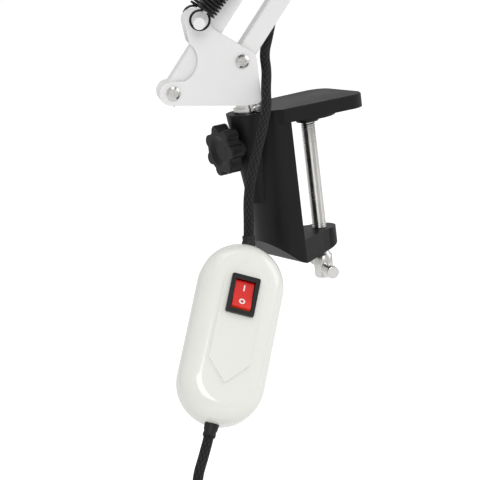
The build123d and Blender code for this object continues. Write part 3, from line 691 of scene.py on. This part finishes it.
def makeMark(name, outline, holes, place):
    curve = bpy.data.curves.new(name, "CURVE")
    curve.dimensions = "2D"
    curve.fill_mode = "BOTH"
    curve.extrude = markSet["thick"]
    for loop in [outline] + holes:
        spline = curve.splines.new("POLY")
        spline.points.add(len(loop) - 1)
        for point, (x, y) in zip(spline.points, loop):
            point.co = (x, y, 0, 1)
        spline.use_cyclic_u = True
    guide = bpy.data.objects.new(name, curve)
    bpy.context.collection.objects.link(guide)
    bpy.context.view_layer.update()
    mesh = bpy.data.meshes.new_from_object(guide)
    bpy.data.objects.remove(guide)
    mark = bpy.data.objects.new(name, mesh)
    bpy.context.collection.objects.link(mark)
    mark.matrix_world = place
    mesh.materials.clear()
    mesh.materials.append(materials["markWhite"])
    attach(mark, "rocker")
    return mark


def ringLoop(radius, count=40):
    return [(radius * math.cos(2 * math.pi * k / count), radius * math.sin(2 * math.pi * k / count))
            for k in range(count)]


half, tall = markSet["stroke"] / 2, markSet["height"] / 2
makeMark("markOn", [(-half, -tall), (half, -tall), (half, tall), (-half, tall)], [],
         rockerFrame(markSet["out"], 1.56, math.atan2(1.1, 7.7)))
makeMark("markOff", ringLoop(markSet["ring"]), [ringLoop(markSet["ring"] - markSet["stroke"])],
         rockerFrame(-markSet["out"], 3.37, math.atan2(2.1, 6.55)))

# light source: chips on the board
chipSet = {
    "rings": ((0.009, 6), (0.018, 12)),         # radius and number in each ring
    "levels": ((0.0, 0.0016), (0.0005, 0.0016), (0.0007, 0.0013)),      # drop and half width
}


def makeChips():
    low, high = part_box("led_board")
    centre = (low + high) / 2
    vertices, faces = [], []
    places = [(0.0, 0.0)]
    for ring, count in chipSet["rings"]:
        places += [(ring * math.cos(2 * math.pi * k / count), ring * math.sin(2 * math.pi * k / count))
                   for k in range(count)]
    for x, y in places:
        base = len(vertices)
        for drop, halfWide in chipSet["levels"]:
            for sx, sy in ((-1, -1), (1, -1), (1, 1), (-1, 1)):
                vertices.append(Vector((centre.x + x + sx * halfWide, centre.y + y + sy * halfWide,
                                        low.z - drop)))
        for row in (0, 4):
            for k in range(4):
                n = (k + 1) % 4
                faces.append((base + row + k, base + row + 4 + k, base + row + 4 + n, base + row + n))
        faces.append((base + 11, base + 10, base + 9, base + 8))
    chips = meshObject("ledChips", vertices, faces, "chipYellow", smooth=False)
    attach(chips, "head")


makeChips()

# floor, light and camera
viewSet = {
    "azimuth": 31.0,
    "elevation": 12.6,
    "roll": 7.0,
    "distance": 1.0,
    "lens": 138.75,
    "aim": (-0.045, 0.0106, -0.063),
}
stageSet = {
    "floorColour": (0.93, 0.93, 0.93, 1),
    "floorGlow": 0.42,
    "floorHalf": 30.0,
    "floorGap": 0.001,
    "sky": 0.62,
}
lightSet = {
    "keyLight": {"place": (-1.0, -1.9, 1.3), "aim": (-0.05, 0, -0.05), "size": (1.2, 1.2), "power": 17},
    "sideLight": {"place": (1.8, -0.9, 0.9), "aim": (0, 0, 0), "size": (1.2, 1.6), "power": 9},
    "topLight": {"place": (0.1, 0.3, 2.2), "aim": (0, 0, 0), "size": (1.6, 1.6), "power": 12},
}


def makeStage():
    floorMaterial, tree, shader = startMaterial("studioFloor")
    shader.inputs["Base Color"].default_value = stageSet["floorColour"]
    shader.inputs["Roughness"].default_value = 0.9
    shader.inputs["Emission Color"].default_value = (1, 1, 1, 1)
    # the glow is for the camera alone, so that it doesn't light the lamp from below
    seen = addNode(tree, "ShaderNodeLightPath")
    tree.links.new(remap(tree, seen.outputs["Is Camera Ray"], 0.0, 1.0, 0.0, stageSet["floorGlow"]),
                   shader.inputs["Emission Strength"])
    noise = noiseNode(tree, 3.0)
    addBump(tree, shader, noise.outputs["Fac"], 0.02, 0.001)
    mesh = bpy.data.meshes.new("floor")
    size, level = stageSet["floorHalf"], cadBox[0][2] - stageSet["floorGap"]
    corners = [(x * size, y * size, level) for x, y in ((-1, -1), (1, -1), (1, 1), (-1, 1))]
    mesh.from_pydata(corners, [], [(0, 1, 2, 3)])
    floor = bpy.data.objects.new("floor", mesh)
    bpy.context.collection.objects.link(floor)
    mesh.materials.append(floorMaterial)
    world = bpy.data.worlds.new("studio")
    bpy.context.scene.world = world
    world.use_nodes = True
    world.node_tree.nodes["Background"].inputs["Color"].default_value = (1, 1, 1, 1)
    world.node_tree.nodes["Background"].inputs["Strength"].default_value = stageSet["sky"]


def softLight(name, place, aim, size, power):
    light = bpy.data.lights.new(name, "AREA")
    light.shape = "RECTANGLE"
    light.size, light.size_y = size
    light.energy = power
    lamp = bpy.data.objects.new(name, light)
    bpy.context.collection.objects.link(lamp)
    lamp.location = place
    lamp.rotation_euler = (Vector(aim) - Vector(place)).to_track_quat("-Z", "Y").to_euler()


def makeCamera():
    azimuth, elevation = math.radians(viewSet["azimuth"]), math.radians(viewSet["elevation"])
    forward = Vector((math.sin(azimuth) * math.cos(elevation), math.cos(azimuth) * math.cos(elevation),
                      -math.sin(elevation)))
    level = forward.cross(upward).normalized()
    lift = level.cross(forward)
    roll = math.radians(viewSet["roll"])
    right = level * math.cos(roll) - lift * math.sin(roll)
    up = lift * math.cos(roll) + level * math.sin(roll)
    data = bpy.data.cameras.new("camera")
    data.lens = viewSet["lens"]
    data.sensor_width = 36.0
    data.clip_end = 100.0
    camera = bpy.data.objects.new("camera", data)
    bpy.context.collection.objects.link(camera)
    camera.matrix_world = (Matrix.Translation(Vector(viewSet["aim"]) - forward * viewSet["distance"])
                           @ Matrix((right, up, -forward)).transposed().to_4x4())
    bpy.context.scene.camera = camera


makeStage()
for name, setting in lightSet.items():
    softLight(name, **setting)
makeCamera()
bpy.context.scene.view_settings.view_transform = "Standard"
print("stage, lights and camera set")
